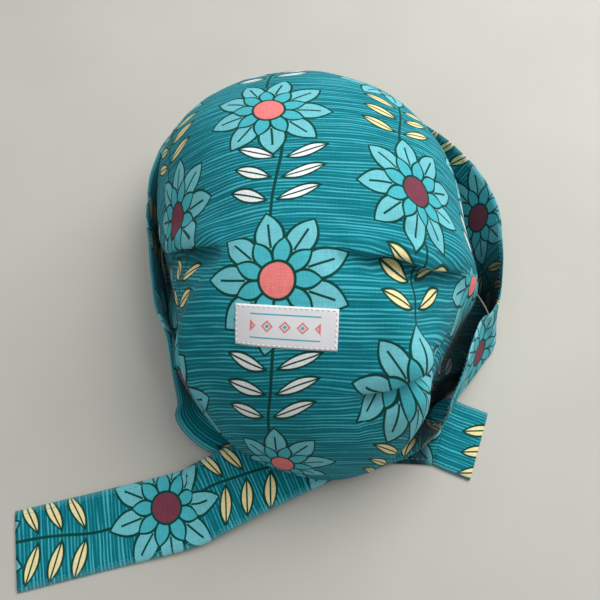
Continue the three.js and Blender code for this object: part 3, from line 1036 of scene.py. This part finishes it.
def mottle(tree, shader, colour, scale, detail, darkest, lightest):
    """A plain colour that varies from place to place, scale times in a metre."""
    place = add_node(tree, "TexCoord").outputs["Object"]
    noise = add_node(tree, "TexNoise", named={"Vector": place, "Scale": scale, "Detail": detail})
    shade = add_node(tree, "MapRange", noise, 0.3, 0.7, darkest, lightest)
    tint = add_node(tree, "HueSaturation", named={"Value": shade, "Color": colour})
    tree.links.new(tint.outputs[0], shader.inputs["Base Color"])


def sewing_thread(name, colour):
    """Spun polyester thread: round and slightly glossy."""
    material, tree, shader = new_material(name, 0.5, 0.1)
    mottle(tree, shader, colour, 2500.0, 2.0, 0.85, 1.1)
    return material


def table_top(colour):
    """A pale laminate table top with faint mottling."""
    material, tree, shader = new_material("pale_laminate", 0.55, 0.0)
    mottle(tree, shader, colour, 9.0, 5.0, 0.965, 1.03)
    return material


# The table, the light and the camera
def make_table(material):
    mesh = bmesh.new()
    bmesh.ops.create_grid(mesh, x_segments=1, y_segments=1, size=TABLE_HALF_SIZE)
    data = bpy.data.meshes.new("floor")
    mesh.to_mesh(data)
    mesh.free()
    data.materials.append(material)
    table = add_object("floor", data)


def add_lamp(name, place, size, power):
    light = bpy.data.lights.new(name, "AREA")
    light.size = size
    light.energy = power
    lamp = add_object(name, light)
    lamp.location = place
    aim = Vector(LAMP_AIM) - Vector(place)
    lamp.rotation_euler = aim.to_track_quat("-Z", "Y").to_euler()


def make_room_light():
    world = bpy.data.worlds.new("room")
    world.use_nodes = True
    background = world.node_tree.nodes["Background"]
    background.inputs[0].default_value = linear("#f2f4f6")
    background.inputs[1].default_value = ROOM_LIGHT
    return world


def make_camera():
    lens = bpy.data.cameras.new("camera")
    lens.lens = CAMERA_LENS
    lens.sensor_width = 36
    lens.clip_start = 0.01
    camera = add_object("camera", lens)
    camera.location = placed(CAMERA_PLACE)
    camera.rotation_euler = (math.radians(90 - CAMERA_PITCH), 0, 0)
    return camera


# Settings and operators
def colour_property(name, default, description):
    return FloatVectorProperty(name=name, subtype="COLOR", size=4, min=0, max=1,
                               default=linear(default), description=description)


class CapSizes(bpy.types.PropertyGroup):
    crown_thickness: FloatProperty(
        name="Crown thickness", default=0.9 * MM, unit="LENGTH",
        description="Thickness of the crown's single layer")
    band_thickness: FloatProperty(
        name="Band thickness", default=1.6 * MM, unit="LENGTH",
        description="Thickness of the doubled strips of the cuff and ties")


class CapColours(bpy.types.PropertyGroup):
    ground: colour_property("Ground", "#006975", "Dark ground of the print")
    between: colour_property("Between", "#06808d", "Halfway between ground and line")
    line: colour_property("Line", "#44adb8", "Pale brushed lines, and the topstitching")
    petal: colour_property("Petal", "#6abac3", "Petals")
    outline: colour_property("Outline", "#044138", "Drawn lines and stems")
    coral: colour_property("Coral", "#e47c79", "Middles of half of the rosettes")
    plum: colour_property("Plum", "#75394a", "Middles of the other rosettes")
    cream: colour_property("Cream", "#e8d9a0", "Leaves of half of the sprigs")
    white: colour_property("White", "#e8ecea", "Leaves of the other sprigs, and the label's thread")
    label: colour_property("Label", "#e2e1e3", "Woven label")
    table: colour_property("Table", "#b9b7af", "Table top")


def chosen_colours():
    settings = bpy.context.scene.cap_colours
    return {name: tuple(getattr(settings, name)) for name in settings.bl_rna.properties.keys()
            if name not in ("rna_type", "name")}


def cotton(name, faded=False):
    made = bpy.data.materials.get(name)
    return made or printed_cotton(name, chosen_colours(), faded)


class CAP_OT_crown(bpy.types.Operator):
    """Makes the domed crown with its tucks"""
    bl_idname = "cap.crown"
    bl_label = "Crown"

    def execute(self, context):
        make_crown(context.scene.cap_sizes, (cotton("quilting_cotton"),
                                             cotton("quilting_cotton_reverse", True)))
        return {"FINISHED"}


class CAP_OT_bands(bpy.types.Operator):
    """Makes the two strips of the cuff and ties, and the topstitching"""
    bl_idname = "cap.bands"
    bl_label = "Bands and ties"

    def execute(self, context):
        for name in BANDS:
            make_band(name, context.scene.cap_sizes, (cotton("quilting_cotton"),))
        thread = sewing_thread("teal_polyester_thread", chosen_colours()["line"])
        make_topstitching(context.scene.cap_sizes, (thread,))
        return {"FINISHED"}


class CAP_OT_label(bpy.types.Operator):
    """Makes the woven label and the stitches that hold it"""
    bl_idname = "cap.label"
    bl_label = "Label"

    def execute(self, context):
        colours = chosen_colours()
        make_label((woven_label_cloth(colours),))
        make_label_stitches(sewing_thread("white_polyester_thread", colours["white"]))
        return {"FINISHED"}


class CAP_OT_stage(bpy.types.Operator):
    """Makes the table, the lights and the camera"""
    bl_idname = "cap.stage"
    bl_label = "Stage"

    def execute(self, context):
        make_table(table_top(chosen_colours()["table"]))
        for name, lamp in LAMPS.items():
            add_lamp(name, **lamp)
        context.scene.world = make_room_light()
        context.scene.view_settings.view_transform = "Standard"
        context.scene.camera = make_camera()
        return {"FINISHED"}


STEPS = (CAP_OT_stage, CAP_OT_crown, CAP_OT_bands, CAP_OT_label)


class CAP_PT_panel(bpy.types.Panel):
    """Lists the cap's steps"""
    bl_idname = "CAP_PT_panel"
    bl_label = "Scrub cap"
    bl_space_type = "VIEW_3D"
    bl_region_type = "UI"
    bl_category = "Cap"

    def draw(self, context):
        for settings in (context.scene.cap_sizes, context.scene.cap_colours):
            for name in settings.bl_rna.properties.keys():
                if name not in ("rna_type", "name"):
                    self.layout.prop(settings, name)
        for step in STEPS:
            self.layout.operator(step.bl_idname)


CLASSES = (CapSizes, CapColours, *STEPS, CAP_PT_panel)


def register():
    for kind in CLASSES:
        bpy.utils.register_class(kind)
    bpy.types.Scene.cap_sizes = PointerProperty(type=CapSizes)
    bpy.types.Scene.cap_colours = PointerProperty(type=CapColours)


def unregister():
    del bpy.types.Scene.cap_colours
    del bpy.types.Scene.cap_sizes
    for kind in reversed(CLASSES):
        bpy.utils.unregister_class(kind)


def main():
    register()
    bpy.ops.cap.stage()
    bpy.ops.cap.crown()
    bpy.ops.cap.bands()
    bpy.ops.cap.label()


if __name__ == "__main__":
    main()
